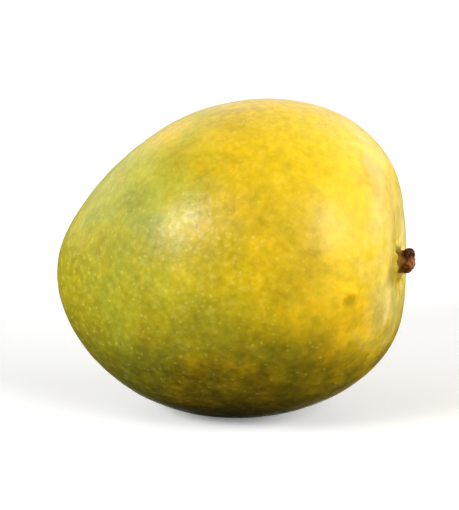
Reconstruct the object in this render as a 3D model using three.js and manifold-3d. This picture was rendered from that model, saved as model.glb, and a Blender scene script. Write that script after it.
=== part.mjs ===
// A ripe table mango as picked, lying on its belly edge, with the short stub of its stalk.
// Millimetres, +Z up. +X runs along the fruit towards the stalk and +Y from cheek to cheek.
// The origin is the middle of the small flat spot that the fruit rests on.

import * as THREE from 'three';
import { mergeVertices } from 'three/addons/utils/BufferGeometryUtils.js';
import Module from 'manifold-3d';

const wasm = await Module();
wasm.setup();

// ---- Fruit: driving dimensions -------------------------------------------------------------
const LENGTH = 91.5;          // apex to stalk end, along the core
const HEIGHT = 81.3;          // back edge to belly edge at mid length
const CHEEKS = 74.1;          // cheek to cheek at mid length
const FULL_ENDS = 0.21;       // how far both ends are filled out beyond an ellipsoid
const FULL_STALK_END = 0.26;  // how much blunter the stalk end is than the apex
const TAPER = 0.13;           // how much wider the stalk half is than the apex half
const SLIM_ENDS = 0.12;       // how much the section closes towards both ends
const ARCH = 6.2;             // how far the core rises in the stalk half and falls in the apex half
const DROOP = 2.5;            // how far both ends hang below the middle of the core
const BELLY = 1.4;            // extra depth of the belly edge
const BELLY_AT = 0.4;         // where the belly is deepest, from -1 at the apex to 1 at the stalk
const BELLY_SPREAD = 0.5;     // how far the belly spreads along the fruit
const SHOULDER = 1.7;         // how far the stalk end leans out at the back edge and in at the belly
const FACES_PER_SIDE = 24;    // faces along each edge of the cube that is shaped into the fruit

// ---- Stalk end: a shallow basin with a flat seat for the stalk -------------------------------
const BASIN_DEPTH = 2.4;
const BASIN_RADIUS = 15;
const SEAT_RADIUS = 4.8;
const SEAT_BLEND = 5;         // width of the ring in which the seat runs out into the basin

// ---- Resting ---------------------------------------------------------------------------------
const PITCH = THREE.MathUtils.degToRad(6.6);   // the stalk end is higher than the apex
const PRESS = 0.9;            // how far the weight of the fruit flattens its underside
const SOFTNESS = 0.4;         // how softly the flat spot runs out into the round skin

// ---- Stalk stub ------------------------------------------------------------------------------
const GAP = 0.3;              // clearance between the stalk and its seat
const STALK_FOOT = 3.1;       // radius of the flared foot on the fruit
const STALK_NECK = 2.2;       // radius at the narrowest place
const STALK_HEAD = 2.7;       // radius at the broken end
const STALK_LENGTH = 4.5;
const STALK_LEAN = 1;         // how far the broken end leans towards the back edge
const STALK_SIDES = 20;
const STALK_RIBS = 5;         // ribs around the stalk
const RIB_HEIGHT = 0.18;
// Scars of the side twigs round the broken end: turn about the stalk, height, and radius.
const TWIG_SCARS = [
  { turn: 72, height: 3.3, radius: 1.35 },
  { turn: -16, height: 3, radius: 1.2 },
  { turn: 195, height: 2.9, radius: 1.2 },
];

const SKIN = new THREE.MeshStandardMaterial({ color: 0xd8b429, roughness: 0.42, metalness: 0 });
const BARK = new THREE.MeshStandardMaterial({ color: 0x6a4330, roughness: 0.85, metalness: 0 });

const smoothstep = (low, high, x) => THREE.MathUtils.smoothstep(x, low, high);

// Moves every vertex of a geometry to where shape(point) puts it.
function reshape(geometry, shape) {
  const position = geometry.attributes.position;
  const point = new THREE.Vector3();
  for (let i = 0; i < position.count; i++) {
    point.fromBufferAttribute(position, i);
    shape(point);
    position.setXYZ(i, point.x, point.y, point.z);
  }
  return geometry;
}

// Joins the vertices of a geometry, so that its faces close into one solid.
function closed(geometry) {
  geometry.deleteAttribute('normal');
  geometry.deleteAttribute('uv');
  return mergeVertices(geometry, 1e-4);
}

// A ball of evenly sized four-sided faces: a divided cube blown up to radius 1.
function ball(facesPerSide) {
  const cube = new THREE.BoxGeometry(2, 2, 2, facesPerSide, facesPerSide, facesPerSide);
  const even = (t) => Math.tan(t * Math.PI / 4);
  return reshape(closed(cube), (point) => {
    point.set(even(point.x), even(point.y), even(point.z)).normalize();
  });
}

// The fruit in its own frame: x along the core to the stalk, y to the cheek, z to the back edge.
function fruitShape(point) {
  const { x: along, y: side, z: up } = point;
  const round = 1 - along * along;
  const section = 1 + TAPER * along * round - SLIM_ENDS * along * along;
  const belly = BELLY * ((1 - up) / 2) ** 2 * round * Math.exp(-(((along - BELLY_AT) / BELLY_SPREAD) ** 2));
  point.x = LENGTH / 2 * (along + round * (FULL_ENDS * along + FULL_STALK_END * along * along));
  point.y = CHEEKS / 2 * side * section;
  point.z = HEIGHT / 2 * up * section + ARCH * along * round - DROOP * along * along - belly;
  if (along > 0) {
    point.x += SHOULDER * up * along * along;
    hollowStalkEnd(point);
  }
}

// The place on the core where the stalk grows, at the bottom of the basin.
const seat = new THREE.Vector3(LENGTH / 2 - BASIN_DEPTH, 0, -DROOP);

function hollowStalkEnd(point) {
  const fromStalk = Math.hypot(point.y - seat.y, point.z - seat.z);
  point.x -= BASIN_DEPTH * Math.exp(-((fromStalk / BASIN_RADIUS) ** 2));
  const onSeat = 1 - smoothstep(SEAT_RADIUS, SEAT_RADIUS + SEAT_BLEND, fromStalk);
  point.x = THREE.MathUtils.lerp(point.x, seat.x, onSeat);
}

// Lies the fruit down: pitched, pressed into the surface by PRESS, the flat spot about the origin.
function restingPose(fruit) {
  const turned = fruit.clone().applyMatrix4(new THREE.Matrix4().makeRotationY(-PITCH));
  turned.computeBoundingBox();
  const floor = turned.boundingBox.min.z + PRESS + SOFTNESS;
  const position = turned.attributes.position;
  const touching = [];
  for (let i = 0; i < position.count; i++) {
    if (position.getZ(i) < floor - SOFTNESS) touching.push(position.getX(i));
  }
  const middle = (Math.min(...touching) + Math.max(...touching)) / 2;
  return new THREE.Matrix4().makeTranslation(-middle, 0, -floor)
    .multiply(new THREE.Matrix4().makeRotationY(-PITCH));
}

// Skin pressed below the surface lies flat on it, and leaves it in a soft curve.
function flattenUnderside(point) {
  const height = point.z + SOFTNESS;
  if (height >= 2 * SOFTNESS) return;
  point.z = height <= 0 ? 0 : height * height / (4 * SOFTNESS);
}

const lean = (height) => STALK_LEAN * (height / STALK_LENGTH) ** 2;

// The stalk in its own frame: y runs out of the fruit, from 0 at the foot, and z to the back edge.
function stalkStub() {
  const profile = [
    [0, 0],
    [STALK_FOOT, 0],
    [STALK_FOOT - 0.2, 0.4],
    [STALK_NECK + 0.35, 0.9],
    [STALK_NECK, 1.6],
    [STALK_NECK + 0.1, 2.4],
    [STALK_HEAD, STALK_LENGTH - 1.1],
    [STALK_HEAD - 0.2, STALK_LENGTH - 0.4],
    [STALK_HEAD - 0.9, STALK_LENGTH],
    [0, STALK_LENGTH - 0.4],
  ].map(([radius, height]) => new THREE.Vector2(radius, height));
  const shaft = closed(new THREE.LatheGeometry(profile, STALK_SIDES));
  reshape(shaft, (point) => {
    const turn = Math.atan2(point.z, point.x);
    const rib = 1 + RIB_HEIGHT / STALK_HEAD * Math.cos(STALK_RIBS * turn);
    point.x *= rib;
    point.z = point.z * rib + lean(point.y);
  });
  const scars = TWIG_SCARS.map(({ turn, height, radius }) => {
    const angle = THREE.MathUtils.degToRad(turn);
    const out = STALK_HEAD - 0.6;
    return closed(new THREE.IcosahedronGeometry(radius, 2))
      .translate(out * Math.cos(angle), height, out * Math.sin(angle) + lean(height));
  });
  return joined([shaft, ...scars]);
}

// Joins closed geometries that overlap into one solid.
function joined(geometries) {
  const solids = geometries.map((geometry) => new wasm.Manifold(new wasm.Mesh({
    numProp: 3,
    vertProperties: Float32Array.from(geometry.attributes.position.array),
    triVerts: Uint32Array.from(geometry.index.array),
  })));
  const mesh = wasm.Manifold.union(solids).getMesh();
  const geometry = new THREE.BufferGeometry();
  geometry.setAttribute('position', new THREE.BufferAttribute(mesh.vertProperties, mesh.numProp));
  geometry.setIndex(new THREE.BufferAttribute(mesh.triVerts, 1));
  return geometry;
}

function part(name, geometry, material) {
  geometry.computeVertexNormals();
  const mesh = new THREE.Mesh(geometry, material);
  mesh.name = name;
  return mesh;
}

const fruit = reshape(ball(FACES_PER_SIDE), fruitShape);
const pose = restingPose(fruit);
reshape(fruit.applyMatrix4(pose), flattenUnderside);

const stalk = part('stem_stub', stalkStub(), BARK);
stalk.rotation.z = -Math.PI / 2;
stalk.position.set(seat.x + GAP, seat.y, seat.z);
const stalkPlace = new THREE.Group();
stalkPlace.applyMatrix4(pose);
stalkPlace.add(stalk);

const mango = new THREE.Group();
mango.add(part('mango_fruit', fruit, SKIN), stalkPlace);
export default mango;
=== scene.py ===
# %% [markdown]
# # A mango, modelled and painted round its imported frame
# A mango grows as one piece, so its skin is one mesh, and the short dry stub of its stalk is
# another. The frame holds both at their real size. Everything here is in metres, +Z up, +X along
# the fruit to its stalk end, and the origin is the middle of the flat spot that the fruit rests on.

# %% Load the frame
import math

import bmesh
import bpy
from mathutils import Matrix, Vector, noise


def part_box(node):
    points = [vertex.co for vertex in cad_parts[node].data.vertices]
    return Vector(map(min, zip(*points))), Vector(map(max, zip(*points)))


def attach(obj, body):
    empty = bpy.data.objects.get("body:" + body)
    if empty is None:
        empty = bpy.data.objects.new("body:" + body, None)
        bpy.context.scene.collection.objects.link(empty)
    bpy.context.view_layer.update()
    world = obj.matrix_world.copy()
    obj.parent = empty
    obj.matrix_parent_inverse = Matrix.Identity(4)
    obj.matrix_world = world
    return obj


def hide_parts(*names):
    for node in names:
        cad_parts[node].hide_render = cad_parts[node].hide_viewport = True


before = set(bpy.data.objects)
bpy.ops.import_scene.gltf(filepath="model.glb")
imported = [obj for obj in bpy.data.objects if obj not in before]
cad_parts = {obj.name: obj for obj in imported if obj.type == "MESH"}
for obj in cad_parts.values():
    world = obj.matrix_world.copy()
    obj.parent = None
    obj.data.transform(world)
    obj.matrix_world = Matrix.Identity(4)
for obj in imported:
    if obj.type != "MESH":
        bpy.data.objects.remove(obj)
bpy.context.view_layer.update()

MM = 0.001
fruit_low, fruit_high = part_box("mango_fruit")
fruit_middle = (fruit_low + fruit_high) / 2
print("fruit in millimetres:", [round(side / MM, 1) for side in fruit_high - fruit_low])


# %% [markdown]
# ## Shapes from the frame
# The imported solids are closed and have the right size, but their faces are loose triangles.
# A copy whose corners are merged and whose triangles are paired back into four-sided faces is a
# clean cage. Subdivision Surface rounds such a cage without bumps, so the fruit can be sculpted
# at the fineness of its real lumps.

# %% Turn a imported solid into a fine, closed skin
SAME_CORNER = 0.005 * MM
PAIR_ANGLE = math.radians(40)


def cage_of(node):
    """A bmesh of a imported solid, its corners merged and its triangles paired."""
    cage = bmesh.new()
    cage.from_mesh(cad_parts[node].data)
    bmesh.ops.remove_doubles(cage, verts=cage.verts, dist=SAME_CORNER)
    bmesh.ops.join_triangles(cage, faces=cage.faces, angle_face_threshold=PAIR_ANGLE,
                             angle_shape_threshold=math.pi)
    return cage


def object_of(shape, name):
    """Puts a bmesh in the scene as an object with smooth faces."""
    mesh = bpy.data.meshes.new(name)
    shape.to_mesh(mesh)
    shape.free()
    mesh.shade_smooth()
    made = bpy.data.objects.new(name, mesh)
    bpy.context.scene.collection.objects.link(made)
    return made


def refine(piece, kind, **settings):
    """Adds a modifier to a piece and applies it to the mesh."""
    modifier = piece.modifiers.new(kind.title(), kind)
    for setting, value in settings.items():
        setattr(modifier, setting, value)
    graph = bpy.context.evaluated_depsgraph_get()
    mesh = bpy.data.meshes.new_from_object(piece.evaluated_get(graph))
    mesh.name = piece.name
    piece.modifiers.clear()
    piece.data = mesh
    mesh.shade_smooth()


fruit = object_of(cage_of("mango_fruit"), "mango_skin")
print("cage faces:", len(fruit.data.polygons))
refine(fruit, "SUBSURF", levels=2, render_levels=2)
print("skin faces:", len(fruit.data.polygons))


# %% [markdown]
# ## Where the stalk grows
# The stalk stands at the bottom of a shallow basin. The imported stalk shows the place: its foot
# is the ring of corners that lies furthest back along its own direction. The direction is the
# fruit's pitch, because the stalk grows in line with the core.

# %% Find the seat of the stalk
PITCH = math.radians(6.6)
FOOT_FLATNESS = 0.01 * MM
stalk_out = Vector((math.cos(PITCH), 0, math.sin(PITCH)))
stalk_up = Vector((-math.sin(PITCH), 0, math.cos(PITCH)))
stalk_side = Vector((0, -1, 0))
stalk_corners = [corner.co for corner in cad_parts["stem_stub"].data.vertices]
foot_height = min(corner.dot(stalk_out) for corner in stalk_corners)
foot = [corner for corner in stalk_corners
        if corner.dot(stalk_out) < foot_height + FOOT_FLATNESS]
seat = sum(foot, Vector()) / len(foot)
foot_radius = max((corner - seat).length for corner in foot)
print("seat:", [round(c / MM, 1) for c in seat], "foot radius:", round(foot_radius / MM, 2))


# %% [markdown]
# ## The fruit's own unevenness
# A grown fruit is never as even as a formula. It has broad swellings the width of a thumb,
# faint dents between them, creases that run out from the stalk, and a small scar where the
# flower's style dried off at the apex. Solid noise, read at the place of each corner, gives the
# swellings; the other marks are moves of the corners near them.

# %% Swellings and dents
SWELLINGS = ((34, 0.55), (15, 0.2), (7, 0.07), (2.6, 0.045))   # width and height in millimetres
FREE_HEIGHT = 5 * MM   # below this the skin calms down towards the flat spot


def swelling(place):
    """How far the skin stands out at a place, in metres."""
    return sum(height * MM * noise.noise(place / (width * MM)) for width, height in SWELLINGS)


def ease(value, low, high):
    """0 below low, 1 above high, and a soft step between."""
    part = min(max((value - low) / (high - low), 0), 1)
    return part * part * (3 - 2 * part)


# %% Creases round the stalk, and the lip that holds its foot
STALK_END_DEPTH = 8 * MM         # how far behind the seat the stalk end reaches
CREASES = 9
CREASE_DEPTH = 0.22 * MM
CREASES_FROM = 3 * MM
CREASES_TO = 15 * MM
CREASE_WANDER = (1.5, 6 * MM)    # in radians, and the size of the noise that it comes from
LIP_RADIUS = foot_radius + 0.5 * MM
LIP_WIDTH = 1.1 * MM
LIP_HEIGHT = 0.9 * MM
FOLD_WANDER = (0.8 * MM, 4 * MM)
FOLD_STARTS = (2 * MM, 4 * MM)
# Turn about the stalk in degrees, then length, width and depth of each deeper fold.
FOLDS = ((76, 15 * MM, 1.2 * MM, 0.75 * MM), (-72, 9 * MM, 0.8 * MM, 0.35 * MM),
         (172, 10 * MM, 0.9 * MM, 0.4 * MM))


def stalk_end_relief(place):
    """Height of the lip and the creases at a place on the stalk end."""
    if (place - seat).dot(stalk_out) < -STALK_END_DEPTH:
        return 0
    across = (place - seat).dot(stalk_side)
    upward = (place - seat).dot(stalk_up)
    distance = math.hypot(across, upward)
    if distance > CREASES_TO:
        return 0
    turn = math.atan2(upward, across)
    wander = CREASE_WANDER[0] * noise.noise(place / CREASE_WANDER[1])
    reach = ease(distance, 0, CREASES_FROM) * (1 - ease(distance, CREASES_FROM, CREASES_TO))
    height = LIP_HEIGHT * math.exp(-((distance - LIP_RADIUS) / LIP_WIDTH) ** 2)
    height += CREASE_DEPTH * reach * math.cos(CREASES * turn + wander)
    for fold_turn, length, width, depth in FOLDS:
        along = Vector((math.cos(math.radians(fold_turn)), math.sin(math.radians(fold_turn))))
        beside = across * along.y - upward * along.x
        beside += FOLD_WANDER[0] * noise.noise(place / FOLD_WANDER[1])
        onward = across * along.x + upward * along.y
        ends = ease(onward, *FOLD_STARTS) * (1 - ease(onward, 0.5 * length, length))
        height -= depth * ends * math.exp(-(beside / width) ** 2)
    return height


# %% The scar at the apex
APEX_SCAR = Vector((fruit_low.x, 0, 27 * MM))
SCAR_SWELL = (0.5 * MM, 6 * MM)    # height and radius of the low swelling round it
SCAR_PIT = (0.55 * MM, 0.9 * MM)   # depth and radius of the pit itself


def apex_relief(place):
    """Height of the low swelling and the pit of the apex scar at a place."""
    offset = place - apex_scar
    swell = SCAR_SWELL[0] * math.exp(-(offset.length / SCAR_SWELL[1]) ** 2)
    return swell - SCAR_PIT[0] * math.exp(-(offset.length / SCAR_PIT[1]) ** 2)


apex_scar = min((corner.co for corner in fruit.data.vertices), key=lambda c: (c - APEX_SCAR).length)
apex_scar = apex_scar.copy()
print("apex scar at:", [round(c / MM, 1) for c in apex_scar])


# %% Sculpt the skin
def sculpt(piece, relief):
    """Moves every corner of a piece along its normal by relief(place)."""
    shape = bmesh.new()
    shape.from_mesh(piece.data)
    shape.normal_update()
    moves = [(corner, corner.normal * relief(corner.co)) for corner in shape.verts]
    for corner, move in moves:
        corner.co += move
    shape.to_mesh(piece.data)
    shape.free()


def skin_relief(place):
    """Everything that the skin is sculpted with, calmed towards the flat spot."""
    calm = ease(place.z, 0, FREE_HEIGHT)
    return calm * (swelling(place) + stalk_end_relief(place) + apex_relief(place))


sculpt(fruit, skin_relief)
TOUCHING = 0.0001 * MM
heights = [corner.co.z for corner in fruit.data.vertices]
print("lowest skin:", round(min(heights) / MM, 4))
print("corners on the surface:", sum(height < TOUCHING for height in heights))


# %% [markdown]
# ## The stub of the stalk
# The stalk broke off a few millimetres above the fruit. Its foot flares where it grows out of
# the skin, its neck is ribbed and shrunk from drying, and dark knobs stand round the break where
# side twigs dropped off. It starts as a circle that is extruded ring by ring; the knobs are
# balls, and a voxel remesh joins all of it into one skin, as it grew.

# %% Extrude the shaft
SIDES = 40
VOXEL = 0.13 * MM
# Height above the seat and radius of each ring, in millimetres.
SHAFT_RINGS = ((-0.6, 2.6), (0.1, 2.7), (0.5, 2.7), (0.9, 2.6), (1.5, 2.45), (2.2, 2.4), (2.8, 2.5),
               (3.4, 2.65), (3.8, 2.6), (4.1, 2.3), (4.3, 1.8))
STALK_LENGTH = 4.5
LEAN = 1.0    # how far the break leans towards the fruit's back edge
# How many ribs go round the shaft, their height in radii, and the phase they start at.
RIBS = ((5, 0.05, 0), (11, 0.03, 1))
# Turn about the stalk, height and radius of the knob at each twig scar.
TWIG_SCARS = ((72, 3.3, 1.4), (-16, 3.0, 1.25), (195, 2.9, 1.25), (-80, 2.2, 1.25), (125, 1.9, 0.9))


def lean_at(height):
    """How far the stalk has leant at a height."""
    return LEAN * (max(height, 0) / STALK_LENGTH) ** 2


def on_stalk(across, upward, height):
    """The place in the frame of a point given in the stalk's own millimetres."""
    upward += lean_at(height)
    return seat + (stalk_side * across + stalk_up * upward + stalk_out * height) * MM


shaft = bmesh.new()
ring = bmesh.ops.create_circle(shaft, segments=SIDES, radius=1, cap_ends=False)["verts"]
turns = [math.atan2(corner.co.y, corner.co.x) for corner in ring]


def place_ring(corners, height, radius):
    """Lays the corners round the shaft as one ribbed ring."""
    for corner, turn in zip(corners, turns):
        ribs = [rise * math.cos(count * turn + phase) for count, rise, phase in RIBS]
        ribbed = radius * sum(ribs, start=1)
        corner.co = on_stalk(ribbed * math.cos(turn), ribbed * math.sin(turn), height)


place_ring(ring, *SHAFT_RINGS[0])
edges = list(shaft.edges)
bmesh.ops.contextual_create(shaft, geom=edges)
for height, radius in SHAFT_RINGS[1:]:
    grown = bmesh.ops.extrude_edge_only(shaft, edges=edges)["geom"]
    edges = [part for part in grown if isinstance(part, bmesh.types.BMEdge)]
    ring = [part for part in grown if isinstance(part, bmesh.types.BMVert)]
    place_ring(ring, height, radius)
bmesh.ops.contextual_create(shaft, geom=edges)
bmesh.ops.recalc_face_normals(shaft, faces=shaft.faces)
print("shaft faces:", len(shaft.faces))

# %% Add the knobs and join everything
KNOB_OUT = 2.15    # distance of a knob's middle from the stalk's


def knob_place(turn, height):
    """The middle of a knob in the frame."""
    angle = math.radians(turn)
    return on_stalk(KNOB_OUT * math.cos(angle), KNOB_OUT * math.sin(angle), height)


knobs = [(knob_place(turn, height), radius) for turn, height, radius in TWIG_SCARS]
for place, radius in knobs:
    ball = bmesh.ops.create_icosphere(shaft, subdivisions=3, radius=radius * MM)["verts"]
    bmesh.ops.translate(shaft, verts=ball, vec=place)
stalk = object_of(shaft, "stalk_stub")
refine(stalk, "REMESH", mode="VOXEL", voxel_size=VOXEL, use_smooth_shade=True)
print("stalk faces:", len(stalk.data.polygons))


# %% Soften the joins, then wrinkle the bark and break the end
def soften(piece, rounds):
    """Smooths a piece, a little more with each round."""
    shape = bmesh.new()
    shape.from_mesh(piece.data)
    for _ in range(rounds):
        bmesh.ops.smooth_vert(shape, verts=shape.verts, factor=0.5,
                              use_axis_x=True, use_axis_y=True, use_axis_z=True)
    shape.to_mesh(piece.data)
    shape.free()


GRAIN_ACROSS, GRAIN_ALONG, CRUMBS = 1.6, 0.35, 2.6    # how fine each noise is, per millimetre
GRAIN_HEIGHT, CRUMB_HEIGHT = 0.16, 0.09
BREAK_STARTS = (3.6, 4.3)                             # heights over which the ragged break starts
BREAK_DEPTH, BREAK_GRAIN = 0.35, 1.3
HOLLOW_DEPTH, HOLLOW_RADIUS = 0.35, 0.45              # of a knob, in millimetres and in its radii


def bark_relief(place):
    """Ribs and wrinkles of dry bark, hollow knobs, and a ragged break."""
    height = (place - seat).dot(stalk_out) / MM
    across = (place - seat).dot(stalk_side) / MM
    upward = (place - seat).dot(stalk_up) / MM - lean_at(height)
    long_grain = noise.noise(Vector((across * GRAIN_ACROSS, upward * GRAIN_ACROSS,
                                     height * GRAIN_ALONG)))
    crumbs = noise.noise(Vector((across, upward, height)) * CRUMBS)
    rough = GRAIN_HEIGHT * long_grain + CRUMB_HEIGHT * crumbs
    across_break = Vector((across, upward, 0)) * BREAK_GRAIN
    broken = ease(height, *BREAK_STARTS) * (BREAK_DEPTH * noise.noise(across_break))
    hollow = 0
    for middle, radius in knobs:
        outward = (middle - seat) - stalk_out * (middle - seat).dot(stalk_out)
        top = middle + outward.normalized() * radius * MM
        reach = HOLLOW_RADIUS * radius * MM
        hollow -= HOLLOW_DEPTH * math.exp(-((place - top).length / reach) ** 2)
    return (rough + broken + hollow) * MM


soften(stalk, rounds=3)
sculpt(stalk, bark_relief)
soften(stalk, rounds=1)
reach_out = max((corner.co - seat).dot(stalk_out) for corner in stalk.data.vertices)
print("stub length:", round(reach_out / MM, 2))


# %% [markdown]
# ## Painting with expressions
# A finish is a network of nodes, and most of it is arithmetic on masks. A small class lets that
# arithmetic be written as sums of Python values; any other node comes from one method.

# %% A socket that can be added and multiplied, and the finish that it belongs to
class Tone:
    """What one socket gives, as it varies over a surface."""

    def __init__(self, finish, socket):
        self.finish = finish
        self.socket = socket

    def math(self, operation, *values):
        """Arithmetic on numbers, as a Math node."""
        return self.finish.node("ShaderNodeMath", {"operation": operation}, dict(enumerate(values)))

    def __add__(self, other):
        return self.math("ADD", self, other)

    def __sub__(self, other):
        return self.math("SUBTRACT", self, other)

    def __rsub__(self, other):
        return self.math("SUBTRACT", other, self)

    def __mul__(self, other):
        return self.math("MULTIPLY", self, other)

    def __truediv__(self, other):
        return self.math("DIVIDE", self, other)

    __radd__ = __add__
    __rmul__ = __mul__


ONE_NUMBER = ("DISTANCE", "DOT_PRODUCT", "LENGTH")    # vector maths that gives a number


class Finish:
    """The nodes of a material or of the room, while they are being built."""

    def __init__(self, owner, shader):
        owner.use_nodes = True
        self.tree = owner.node_tree
        self.shader = self.tree.nodes[shader]
        self.noises = {}    # so that each kind of noise is made once

    def node(self, kind, settings=None, sockets=None, out=0):
        """Adds a node of a kind, its settings first and then its sockets, and gives an output."""
        made = self.tree.nodes.new(kind)
        for setting, value in (settings or {}).items():
            if setting == "stops":
                set_stops(made.color_ramp, value)
            else:
                setattr(made, setting, value)
        for socket, value in (sockets or {}).items():
            self.plug(made.inputs[socket], value)
        return Tone(self, made.outputs[out])

    def vector(self, operation, *values):
        """Vector maths, which gives a number where the operation does."""
        out = "Value" if operation in ONE_NUMBER else 0
        return self.node("ShaderNodeVectorMath", {"operation": operation},
                         dict(enumerate(values)), out)

    def plug(self, socket, value):
        """Links a tone to a socket, or sets the socket to a plain value."""
        if isinstance(value, Tone):
            self.tree.links.new(value.socket, socket)
        elif socket.type == "RGBA":
            socket.default_value = (*value, 1)
        else:
            socket.default_value = value

    def surface(self, **sockets):
        """Sets or links sockets of the shader; an underscore stands for a space."""
        for socket, value in sockets.items():
            self.plug(self.shader.inputs[socket.replace("_", " ")], value)


def finish_for(piece, name):
    """A new material on a piece, with places in millimetres from the fruit's middle."""
    material = bpy.data.materials.new(name)
    piece.data.materials.clear()
    piece.data.materials.append(material)
    finish = Finish(material, "Principled BSDF")
    local = finish.node("ShaderNodeTexCoord", out="Object")
    finish.place = finish.node("ShaderNodeMapping", sockets={
        "Vector": local, "Location": -fruit_middle / MM, "Scale": (1 / MM,) * 3})
    return finish


def set_stops(ramp, stops):
    """Gives a colour ramp its stops, as pairs of a position and a colour."""
    while len(ramp.elements) < len(stops):
        ramp.elements.new(1)
    for element, (position, colour) in zip(ramp.elements, stops):
        element.position = position
        element.color = (*colour, 1)


# %% Marks and masks that any finish can use
COLOUR_A, COLOUR_B, COLOUR_OUT = 6, 7, 2    # sockets of a Mix node that mixes colours
NOISE_LOW, NOISE_HIGH = 0.3, 0.7            # nearly all of a noise lies between these
EDGE_FROM, EDGE_TO = 0.3, 1.1               # a mark fades between these parts of its half width
RAGGED_REACH = 2.5                          # how far noise moves a ragged edge, in half widths
RAGGED_DETAIL = 4
SHARE_EDGE = 0.02


def step(value, low, high):
    """A soft step from 0 at low to 1 at high."""
    return value.finish.node("ShaderNodeMapRange", {"interpolation_type": "SMOOTHSTEP"},
                             {"Value": value, "From Min": low, "From Max": high})


def blend(amount, under, over):
    """Lays one colour over another where amount is 1."""
    return amount.finish.node("ShaderNodeMix", {"data_type": "RGBA"}, {
        0: amount, COLOUR_A: under, COLOUR_B: over}, out=COLOUR_OUT)


def place_in_units(finish, size, shift):
    """The place measured in units of size, moved so that another part of a pattern is read."""
    return finish.node("ShaderNodeMapping", sockets={
        "Vector": finish.place, "Location": (shift, 0, 0), "Scale": (1 / size,) * 3})


def clouds(finish, size, detail=2, shift=0):
    """Cloudy noise with blotches about size millimetres across, made once for each wish."""
    wish = (size, detail, shift)
    if wish not in finish.noises:
        finish.noises[wish] = finish.node("ShaderNodeTexNoise", sockets={
            "Vector": place_in_units(finish, size, shift), "Scale": 1, "Detail": detail})
    return finish.noises[wish]


def mottle(finish, size, detail=2, shift=0):
    """Clouds with more contrast, from -0.5 to 0.5."""
    return step(clouds(finish, size, detail, shift), NOISE_LOW, NOISE_HIGH) - 0.5


def dots(finish, spacing, radius, share, shift=0):
    """Round dots in a share of the cells of a loose grid: 1 in the dots, 0 between."""
    cell = {"Vector": place_in_units(finish, spacing, shift), "Scale": 1}
    distance = finish.node("ShaderNodeTexVoronoi", sockets=cell)
    chance = finish.node("ShaderNodeSeparateColor", sockets={
        "Color": finish.node("ShaderNodeTexVoronoi", sockets=cell, out="Color")})
    inside = 1 - step(distance, 0.5 * radius / spacing, radius / spacing)
    return inside * (1 - step(chance, share - SHARE_EDGE, share + SHARE_EDGE))


def streak(finish, start, end, width, ragged=0.0, grain=3):
    """A streak, or a round patch if it ends where it starts, in the frame's millimetres."""
    start = Vector(start) - fruit_middle / MM
    run = Vector(end) - fruit_middle / MM - start
    away = finish.vector("DISTANCE", finish.place, start)
    if run.length > 0:
        offset = finish.vector("SUBTRACT", finish.place, start)
        onward = finish.vector("DOT_PRODUCT", offset, run / run.length_squared)
        nearest = finish.node("ShaderNodeVectorMath", {"operation": "SCALE"}, {
            0: run, "Scale": finish.node("ShaderNodeClamp", sockets={"Value": onward})})
        away = finish.vector("DISTANCE", offset, nearest)
    if ragged:
        away = away + RAGGED_REACH * ragged * width * (clouds(finish, grain, RAGGED_DETAIL) - 0.5)
    return 1 - step(away, EDGE_FROM * width, EDGE_TO * width)


def patch(finish, middle, radius, ragged=0.0, grain=3):
    """A round patch with a soft or ragged edge."""
    return streak(finish, middle, middle, radius, ragged, grain)


def xyz(finish, vector):
    """The three parts of a vector."""
    parts = finish.node("ShaderNodeSeparateXYZ", sockets={"Vector": vector})
    return [Tone(finish, parts.socket.node.outputs[axis]) for axis in "XYZ"]


# %% [markdown]
# ## The skin's colour
# The fruit is ripest at its stalk end. There and over the back it is golden yellow, then old gold,
# then yellow-green towards the apex. One ramp holds these colours in the order of ripening. The
# border between them wanders, so the place along the ramp is moved by noise of four sizes, and by
# soft patches where this fruit is riper or greener. One wide patch next to the flat spot is painted
# light instead: it makes the underside more golden, as warm light thrown up from yellow fruit round
# it would.

# %% How ripe each place is, with painted bounce light low down
BACK_RIPENESS = 0.5    # what a millimetre towards the back adds, against 1 for one along the fruit
WANDERINGS = ((24, 1, 12), (9, 2, 9), (3, 2, 2.5), (1.3, 2, 1.5))   # size, detail and strength
RIPENESS_AND_BOUNCE_SHIFTS = (
    # middle in the frame's millimetres, radius, change
    ((-25, -19, 60), 19, -26),
    ((1, -27, 68), 11, -12),
    ((-8, -33, 53), 10, 3),
    ((18, -31, 60), 18, -8),
    ((-5, -4, 80), 12, -6),
    ((-18, -31, 43), 19, 10),
    ((5, -36, 45), 10, -6),
    ((-20, -21, 63), 8, -12),
    ((-3, -25, 71), 6, 8),
    ((6, -35, 55), 9, -6),
    ((-6, -30, 18), 24, 16),
    # Painted light: this wide shift makes the underside golden, as warm light thrown up from yellow
    # fruit would.
    ((5, -18, 6), 32, 24),
    ((-20, -30, 27), 10, 7),
)
skin = finish_for(fruit, "ripe_mango_skin")
along, _, upward = xyz(skin, skin.place)
ripeness_and_bounce = along + BACK_RIPENESS * upward
for size, detail, strength in WANDERINGS:
    ripeness_and_bounce = ripeness_and_bounce + strength * mottle(skin, size, detail)
for middle, radius, change in RIPENESS_AND_BOUNCE_SHIFTS:
    ripeness_and_bounce = ripeness_and_bounce + change * patch(skin, middle, radius)

# %% From lime green to gold
OLIVE_YELLOW = (0.42, 0.355, 0.010)
LIME = (0.40, 0.395, 0.024)
LEAF_YELLOW = (0.50, 0.43, 0.018)
OLD_GOLD = (0.62, 0.45, 0.008)
GOLDEN = (0.78, 0.50, 0.006)
LEMON_GOLD = (0.84, 0.585, 0.016)
RIPE_FROM, RIPE_TO = -50, 45


def at_ripeness(value):
    """Where a ripeness lies along the ramp."""
    return (value - RIPE_FROM) / (RIPE_TO - RIPE_FROM)


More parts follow.
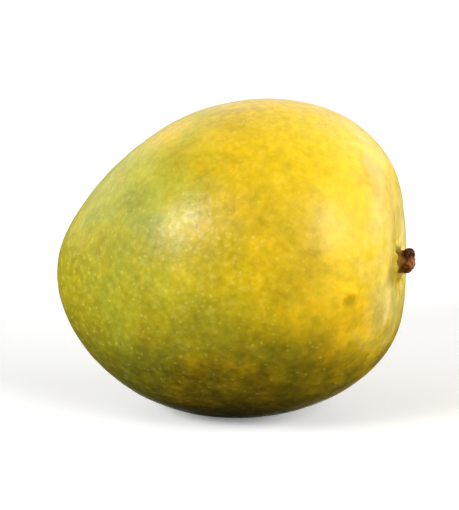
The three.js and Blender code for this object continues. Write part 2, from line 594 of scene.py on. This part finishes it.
colour = skin.node("ShaderNodeValToRGB", {"stops": (
    (0, OLIVE_YELLOW),
    (at_ripeness(-18), LIME),
    (at_ripeness(-4), LEAF_YELLOW),
    (at_ripeness(6), OLD_GOLD),
    (at_ripeness(18), GOLDEN),
    (1, LEMON_GOLD),
)}, {"Fac": at_ripeness(ripeness_and_bounce)})

# %% [markdown]
# ## Marks in their places
# Some marks belong to one place, so their places and sizes are listed. The near cheek has a greyish
# smudge, sage and leafy clouds towards the apex, and deep, bright and orange gold round the stalk
# end. The far cheek is made up: it has dark green smudges and an orange blush, as such a fruit may
# have. Thin clouds of old gold lie over everything.

# %% Patches on both cheeks
ORANGE_GOLD = (0.92, 0.50, 0.006)
BRIGHT_GOLD = (0.95, 0.62, 0.025)
DEEP_GOLD = (0.58, 0.39, 0.006)
GREY_GREEN = (0.38, 0.39, 0.09)
SAGE = (0.37, 0.405, 0.045)
LEAF_GREEN = (0.27, 0.30, 0.02)
PATCHES = (
    # start and end in the frame's millimetres, half width, colour, strength
    ((-12, -30, 57), (-12, -30, 57), 9, GREY_GREEN, 0.4),
    ((-31, -12, 59), (-18, -21, 64), 10, SAGE, 0.75),
    ((-19, -14, 69), (-11, -20, 70), 6, LEAF_YELLOW, 0.5),
    ((-24, -24, 55), (-24, -24, 55), 14, LEAF_GREEN, 0.25),
    ((5, -12, 79), (22, -32, 58), 12, DEEP_GOLD, 0.35),
    ((30, -31, 50), (37, -27, 40), 14, BRIGHT_GOLD, 0.6),
    ((36, -25, 33), (34, -25, 27), 11, ORANGE_GOLD, 0.5),
    ((39, -8, 67), (40, -14, 62), 6, ORANGE_GOLD, 0.35),
    ((32, -31, 40), (38, -26, 37), 8, ORANGE_GOLD, 0.4),
    ((20, 20, 72), (20, 20, 72), 22, ORANGE_GOLD, 0.7),
    ((-22, 30, 50), (-22, 30, 50), 16, LEAF_GREEN, 0.7),
    ((4, 37, 32), (4, 37, 32), 13, LEAF_GREEN, 0.6),
    ((-34, 6, 20), (-34, 6, 20), 14, LEAF_GREEN, 0.5),
)
for start, end, width, tone, strength in PATCHES:
    mark = streak(skin, start, end, width, ragged=0.9, grain=5)
    colour = blend(strength * mark, colour, tone)
OLD_GOLD_CLOUDS = 0.2
clouded = 0.5 + mottle(skin, 6, detail=3, shift=31)
colour = blend(OLD_GOLD_CLOUDS * clouded, colour, OLD_GOLD)

# %% [markdown]
# ## The stalk end
# Round the stalk the shoulder is cream, with fine rays that run out from the stalk and peach between
# them. The rays are noise that is read at the direction from the stalk, which draws it out into
# lines. Close to the stalk the skin is stained olive, and brown as dried sap leaves it. Part of this
# olive and brown is painted shade: in the deep fold that runs up from the stalk, beside and below the
# stub's foot, and in a ring where the foot meets the skin.

# %% Rays, shoulder and stain
PEACH = (0.86, 0.62, 0.19)
CREAM = (0.88, 0.69, 0.17)
OLIVE_STAIN_AND_SHADE = (0.46, 0.31, 0.025)
RAYS = 7                     # how close the rays stand
RAY_WANDER = 0.3
RAY_EDGE = (0.35, 0.65)
# Distances from the stalk in millimetres over which a ring comes or goes.
SHOULDER_STARTS = (4, 9)
SHOULDER_ENDS = (15, 29)
STAIN_ENDS = (4, 10)
stalk_root = (seat - fruit_middle) / MM
from_stalk = skin.vector("DISTANCE", skin.place, stalk_root)
outward = skin.vector("NORMALIZE", skin.vector("SUBTRACT", skin.place, stalk_root))
rays = skin.node("ShaderNodeTexNoise", sockets={"Vector": outward, "Scale": RAYS, "Detail": 4})
rays = step(rays + RAY_WANDER * (clouds(skin, 6, detail=3, shift=5) - 0.5), *RAY_EDGE)
shoulder_end = from_stalk + 9 * mottle(skin, 7, detail=4)
shoulder = step(from_stalk, *SHOULDER_STARTS) * (1 - step(shoulder_end, *SHOULDER_ENDS))
colour = blend(shoulder * (0.3 + 0.5 * rays), colour, CREAM)
colour = blend(0.35 * shoulder * (1 - rays), colour, PEACH)
stain_end = from_stalk + 4 * mottle(skin, 2.5, detail=4) + 2.5 * rays
colour = blend(0.7 * (1 - step(stain_end, *STAIN_ENDS)), colour, OLIVE_STAIN_AND_SHADE)

# %% Streaks, sap and painted shade on the stalk end
DEEP_PEACH = (0.84, 0.51, 0.09)
PALE_RIM = (0.90, 0.75, 0.27)
TAN = (0.62, 0.42, 0.14)
GREY_LEAF = (0.60, 0.46, 0.10)
SAP_STAIN_AND_SHADE = (0.20, 0.14, 0.008)
SAP_AND_SHADE_ENDS = (3.2, 5.0)        # millimetres from the stalk


def on_stalk_end(across, upward):
    """The place on the stalk end so far towards the near cheek and the back edge."""
    return seat / MM + across * stalk_side + upward * stalk_up


STREAKS = (
    # start and end, half width, colour, strength
    (on_stalk_end(-19, -4), on_stalk_end(-12, -17), 12.0, LEMON_GOLD, 0.6),
    (on_stalk_end(4, -23), on_stalk_end(-4, -19), 9.0, GOLDEN, 0.4),
    (on_stalk_end(-17, 14), on_stalk_end(-13, 19), 9.0, LEMON_GOLD, 0.5),
    ((37.5, -5, 71), (41, -11, 62), 5.0, DEEP_PEACH, 0.55),
    (on_stalk_end(21, -2), on_stalk_end(21, -20), 8.0, GREY_LEAF, 0.5),
    (on_stalk_end(15, -1), on_stalk_end(18, -13), 2.6, PALE_RIM, 0.5),
    (on_stalk_end(-8, 14), on_stalk_end(-10, 0), 6.0, PALE_RIM, 0.6),
    (on_stalk_end(2, 22), on_stalk_end(5, 15), 3.0, TAN, 0.35),
    (on_stalk_end(10.5, -5), on_stalk_end(11, -8), 3.5, GREY_GREEN, 0.4),
    # Partly olive stain, partly painted shade: these three streaks darken the near slope of the basin
    # beside the stub's foot.
    (on_stalk_end(4, 0), on_stalk_end(13, 1), 4.5, OLIVE_STAIN_AND_SHADE, 0.6),
    (on_stalk_end(6, 0.8), on_stalk_end(9, 0.2), 2.2, OLIVE_STAIN_AND_SHADE, 0.8),
    (on_stalk_end(13.5, 2.5), on_stalk_end(11, 0.5), 2.5, OLIVE_STAIN_AND_SHADE, 0.6),
    # Partly dried sap, partly painted shade: this streak darkens the skin below the stub's foot. The
    # next one is painted shade in the deep fold that runs up from the stalk.
    (on_stalk_end(3.5, -3), on_stalk_end(5, -5), 2.8, SAP_STAIN_AND_SHADE, 0.4),
    (on_stalk_end(0.5, 4), on_stalk_end(3.2, 14), 1.7, SAP_STAIN_AND_SHADE, 0.35),
)
for start, end, width, tone, strength in STREAKS:
    mark = streak(skin, start, end, width, ragged=0.5, grain=3)
    colour = blend(strength * mark, colour, tone)
# Partly dried sap, partly painted shade: a dark ring where the stub's foot meets the skin.
sap_and_shade_end = from_stalk + 2 * mottle(skin, 1.5)
colour = blend(0.6 * (1 - step(sap_and_shade_end, *SAP_AND_SHADE_ENDS)), colour, SAP_STAIN_AND_SHADE)

# %% [markdown]
# ## Light and dark
# Close up, the skin is pebbled and cloudy, and it has broader lighter and darker places. Some of
# these places are painted light and shade: a highlight widened, and places lightened or darkened
# where the light falls more or less. All of this is added up into one number, shade, and the colour
# is multiplied by it. The underside is painted mossier and darker, in soft blotches; the darkness is
# painted shade, as fruits lying round it would cast. Where the grain is light, the dry bloom of the
# wax makes the colour hazy too.

# %% Clouds and grain
PEBBLE = 1.7                 # width of a pebble in millimetres, in the colour and in the relief
PEBBLE_SHIFT = 11
BROAD_CLOUDS = ((5, 3, 0.1), (2.6, 23, 0.13))    # size, shift and strength
CHEEK_MIDDLE = ((0, -36, 46), 26)                # middle and radius of the place with most grain
CALMER = 0.45                # how much grain is lost over the back, and again at the stalk end
shade = 1
for size, shift, strength in BROAD_CLOUDS:
    shade = shade + strength * mottle(skin, size, shift=shift)
pebbles = skin.node("ShaderNodeTexVoronoi", {"feature": "SMOOTH_F1"}, {
    "Vector": skin.place, "Scale": 1 / PEBBLE, "Smoothness": 0.6})
fine = 0.15 * mottle(skin, PEBBLE, shift=PEBBLE_SHIFT) + 0.08 * mottle(skin, 0.8, shift=17)
fine = fine + 0.24 * (0.4 - pebbles)
calm = (1 - patch(skin, *CHEEK_MIDDLE)) * step(upward, -2, 14)
underside = step(along, -30, -5) * (1 - step(upward, -20, 6))
fine = fine * (1 - CALMER * calm) * (1 - CALMER * step(along, 5, 30)) * (1 - 0.35 * underside)
shade = shade + fine

# %% The mossy underside, darkened with painted shade
MOSS_AND_SHADE = (0.30, 0.31, 0.02)
MOSS_AND_SHADE_AMOUNT = 0.35
PAINTED_UNDERSIDE_SHADE = 0.28          # how much darker the skin is next to the flat spot
# Painted shade: low on the fruit the skin is made darker, most of all next to the flat spot, as
# fruits round it would shade it. The moss green and its blotches are partly the skin's colour and
# partly this painted shade.
soft = mottle(skin, 7, shift=47)
colour = blend(MOSS_AND_SHADE_AMOUNT * underside * (0.5 - soft), colour, MOSS_AND_SHADE)
moss_and_shade_blotches = 0.09 * mottle(skin, 3, detail=3, shift=41) + 0.26 * soft - 0.06
shade = shade + underside * moss_and_shade_blotches - PAINTED_UNDERSIDE_SHADE * (1 - step(upward, -24, -8))

# %% Lighter and darker places, partly painted light and shade
# Partly painted light and shade: some of these patches reshape the left highlight and lighten or
# darken places where the light falls more or less; the rest are the skin's own lighter and darker
# tone.
PAINTED_LIGHT_AND_TONE_SHIFTS = (
    # middle in the frame's millimetres, radius, change
    ((10, -31, 64), 9, -0.1),
    ((-2, -31, 63), 6, -0.1),
    ((-14, -29, 57), 6, -0.1),
    ((-10, -19, 73), 7, -0.12),
    ((15, -26, 70), 6, 0.05),
    ((-6, -36, 46), 8, 0.2),
    ((11, -37, 45), 9, 0.17),
    ((27, -33, 52), 6, -0.22),
    ((35, -29, 41), 10, 0.2),
    ((21, -35, 37), 7, 0.18),
    ((-23, -29, 31), 9, 0.12),
    ((-6, -36, 34), 7, 0.1),
    ((2, -7, 81), 7, -0.1),
    ((-1, -23, 72), 8, -0.1),
    ((-21, -21, 63), 6, -0.15),
    ((-8, -30, 61), 6, 0.2),
    ((24, -30, 61), 9, -0.1),
    ((21, -35, 47), 7, -0.1),
    ((19, -35, 33), 7, -0.2),
    ((27, -33, 37), 6, 0.1),
    ((37, -24, 29), 9, 0.25),
    ((39, -8, 67), 8, -0.12),
)
for middle, radius, change in PAINTED_LIGHT_AND_TONE_SHIFTS:
    shade = shade + change * patch(skin, middle, radius, ragged=0.4, grain=5)
colour = skin.node("ShaderNodeVectorMath", {"operation": "SCALE"}, {0: colour, "Scale": shade})
HAZE = (0.66, 0.58, 0.24)
HAZY = 1.2
colour = blend(HAZY * fine, colour, HAZE)

# %% [markdown]
# ## Small marks
# A mango has pale pores all over, and often a few dark specks. This one has a soft brown spot half
# way up its near cheek, towards the stalk. At the apex, the dried style left a brown pit in a
# yellowed ring.

# %% Pores and specks
PALE_PORE = (0.82, 0.70, 0.10)
SPECK_BROWN = (0.14, 0.085, 0.015)
pores = dots(skin, spacing=2.2, radius=0.55, share=0.85)
specks = dots(skin, spacing=8, radius=0.5, share=0.3, shift=3)
colour = blend(0.4 * pores * (1 - 0.5 * calm), colour, PALE_PORE)
colour = blend(0.5 * specks, colour, SPECK_BROWN)

# %% The brown spot and the apex
SPOT_GOLD = (0.54, 0.345, 0.004)
SPOT_BROWN = (0.32, 0.22, 0.006)
BRUISE = (36, -28.3, 42)
SMALL_MARKS = (
    # middle, radius, raggedness, grain, colour, strength
    (BRUISE, 2.6, 0.4, 1.5, SPOT_GOLD, 0.65),
    (BRUISE, 1.6, 0.4, 1, SPOT_BROWN, 0.2),
    (apex_scar / MM, 4, 0.6, 2, OLD_GOLD, 0.6),
    (apex_scar / MM, 1.3, 0.4, 1, SPECK_BROWN, 0.9),
)
for middle, radius, ragged, grain, tone, strength in SMALL_MARKS:
    colour = blend(strength * patch(skin, middle, radius, ragged, grain), colour, tone)

# %% [markdown]
# ## Relief and gloss
# The skin is faintly pebbled, under a clear wax that is duller in some places and over the pores.
# A little light goes into the flesh and comes out again beside where it went in, and the bloom
# gives the edges a faint sheen.

# %% Relief and gloss of the wax
WAX_ROUGHNESS = 0.37
# Heights in millimetres.
height = 0.09 * clouds(skin, PEBBLE, shift=PEBBLE_SHIFT) - 0.05 * pebbles
height = height + 0.03 * clouds(skin, 0.7) + 0.015 * pores
bumps = skin.node("ShaderNodeBump", sockets={"Strength": 1, "Distance": MM, "Height": height},
                  out="Normal")
gloss = WAX_ROUGHNESS + 0.12 * mottle(skin, 4, detail=3) + 0.08 * mottle(skin, 1.3) + 0.06 * pores
skin.surface(Base_Color=colour, Roughness=gloss, Normal=bumps, IOR=1.4,
             Subsurface_Weight=0.1, Subsurface_Radius=(1.0, 0.55, 0.1), Subsurface_Scale=0.002,
             Sheen_Weight=0.4, Sheen_Roughness=0.15, Sheen_Tint=(1.0, 0.95, 0.7))
print("nodes in the skin:", len(skin.tree.nodes))

# %% [markdown]
# ## Bark
# The stub is dry and matt: tan at its foot, pinkish brown on the shaft in clouds of darker brown,
# red-brown on the knobs, and dark maroon on the one that stands highest.

# %% Paint the stalk
PINK_BARK = (0.44, 0.17, 0.060)
BROWN_BARK = (0.18, 0.045, 0.012)
TAN_BARK = (0.36, 0.20, 0.03)
MAROON = (0.012, 0.0008, 0.0015)
RED_BROWN = (0.075, 0.007, 0.002)
FOOT_ENDS = (0.8, 2.3)       # millimetres above the seat
TOP_KNOB = (1.9, 0.95, MAROON)          # reach in radii of the knob, strength and colour
OTHER_KNOBS = (1.15, 0.85, RED_BROWN)
bark = finish_for(stalk, "dry_stalk_bark")
tint = blend(step(clouds(bark, 0.9, detail=3), 0.38, 0.62), PINK_BARK, BROWN_BARK)
above_seat = bark.vector("DOT_PRODUCT", bark.place, stalk_out) - stalk_root.dot(stalk_out)
foot_end = above_seat + mottle(bark, 1)
tint = blend(0.85 * (1 - step(foot_end, *FOOT_ENDS)), tint, TAN_BARK)
for knob, (place, radius) in enumerate(knobs):
    reach, strength, dark = TOP_KNOB if knob == 0 else OTHER_KNOBS
    tint = blend(strength * patch(bark, place / MM, radius * reach, 0.3, 1), tint, dark)
bark_bumps = bark.node("ShaderNodeBump", sockets={
    "Strength": 1, "Distance": MM, "Height": 0.12 * clouds(bark, 0.5, detail=3)}, out="Normal")
bark.surface(Base_Color=tint, Roughness=0.7, Normal=bark_bumps, Specular_IOR_Level=0.25)
print("nodes in the bark:", len(bark.tree.nodes))

# %% [markdown]
# ## Studio
# The fruit lies on white paper. Two softboxes in front make its highlights, and three wide
# panels beside and behind it light its edges without a reflection of their own. The paper glows
# a little and gives the fruit no light and no reflection, so the underside stays as dark as it
# is in a heap of fruit. The room looks white, but it lights the fruit only faintly. Its backdrop
# shines in the gloss of the skin, and more at the right.

# %% Floor
bpy.context.scene.view_settings.view_transform = "Standard"
FLOOR_SIDE = 60                        # metres
WHITE, GLOW = (1, 1, 1), (0.2, 0.2, 0.2)
PAPER = (0.88, 0.88, 0.88)
BRIGHT_FROM, BRIGHT_TO = 700, 1100     # millimetres from the fruit, past the softboxes' reach
ground = bmesh.new()
bmesh.ops.create_grid(ground, x_segments=1, y_segments=1, size=FLOOR_SIDE / 2)
floor = object_of(ground, "studio_floor")
floor.visible_diffuse = False
floor.visible_glossy = False
paper = finish_for(floor, "white_paper")
far = step(paper.vector("LENGTH", paper.place), BRIGHT_FROM, BRIGHT_TO)
paper.surface(Base_Color=PAPER, Roughness=0.9, Emission_Strength=1,
              Emission_Color=blend(far, GLOW, WHITE))

# %% Room
FRONT_ROOM, BACKDROP, BELOW = 0.03, 0.08, 0.015   # light from the front, the back and below
BACKDROP_SHINE, RIGHT_SHINE = 1.4, 2.8            # of the backdrop in the gloss, left and right
world = bpy.data.worlds.new("white_room")
bpy.context.scene.world = world
room = Finish(world, "Background")
# In a room, the first output of Texture Coordinate is the direction that is looked in.
looking_right, looking_back, looking_up = xyz(room, room.node("ShaderNodeTexCoord"))
in_gloss = room.node("ShaderNodeLightPath", out="Is Glossy Ray")
in_camera = room.node("ShaderNodeLightPath", out="Is Camera Ray")
shine = BACKDROP_SHINE + (RIGHT_SHINE - BACKDROP_SHINE) * step(looking_right, -0.1, 0.5)
behind = BACKDROP - FRONT_ROOM + (shine - BACKDROP) * in_gloss
around = FRONT_ROOM + behind * step(looking_back, -0.1, 0.6)
light = BELOW + (around - BELOW) * step(looking_up, -0.15, 0.1)
room.surface(Color=WHITE, Strength=light + (1 - light) * in_camera)


# %% Softboxes
SOFTBOX_DISTANCE = 1.2
SOFTBOXES = (
    # name, azimuth, elevation, width, height, watts, whether the gloss shows it
    ("softbox_left", -43, 30, 0.50, 0.36, 11, True),
    ("softbox_right", 57, 30, 0.50, 0.50, 7.8, True),
    ("panel_right", 94, 17, 1.0, 0.45, 12, False),
    ("panel_left", -90, 17, 1.0, 0.45, 9, False),
    ("panel_back", 205, 17, 1.0, 0.45, 4.5, False),
)


def direction(azimuth, elevation):
    """Unit vector from the fruit; azimuth 0 is in front of it, and 90 at its stalk end."""
    turn, rise = math.radians(azimuth), math.radians(elevation)
    return Vector((math.sin(turn) * math.cos(rise), -math.cos(turn) * math.cos(rise), math.sin(rise)))


def aim(thing, azimuth, elevation, distance):
    """Puts a lamp or a camera round the fruit and points it at the fruit's middle."""
    bpy.context.scene.collection.objects.link(thing)
    thing.location = fruit_middle + direction(azimuth, elevation) * distance
    thing.rotation_euler = (fruit_middle - thing.location).to_track_quat("-Z", "Y").to_euler()


for name, azimuth, elevation, width, height, watts, mirrored in SOFTBOXES:
    lamp = bpy.data.lights.new(name, "AREA")
    lamp.shape = "RECTANGLE"
    lamp.size = width
    lamp.size_y = height
    lamp.energy = watts
    box = bpy.data.objects.new(name, lamp)
    aim(box, azimuth, elevation, SOFTBOX_DISTANCE)
    box.visible_glossy = mirrored
    print(name, "at", [round(c, 2) for c in box.location])

# %% Camera
VIEW_AZIMUTH = 11
VIEW_RISE = 20
VIEW_DISTANCE = 0.9
FOCAL_LENGTH = 246
camera = bpy.data.objects.new("camera", bpy.data.cameras.new("camera"))
camera.data.lens = FOCAL_LENGTH
aim(camera, VIEW_AZIMUTH, VIEW_RISE, VIEW_DISTANCE)
bpy.context.scene.camera = camera
print("camera at", [round(c, 2) for c in camera.location])

# %% Hand over
for piece, node, slot in ((fruit, "mango_fruit", "fruit_skin"), (stalk, "stem_stub", "stalk_bark")):
    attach(piece, "root")
    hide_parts(node)
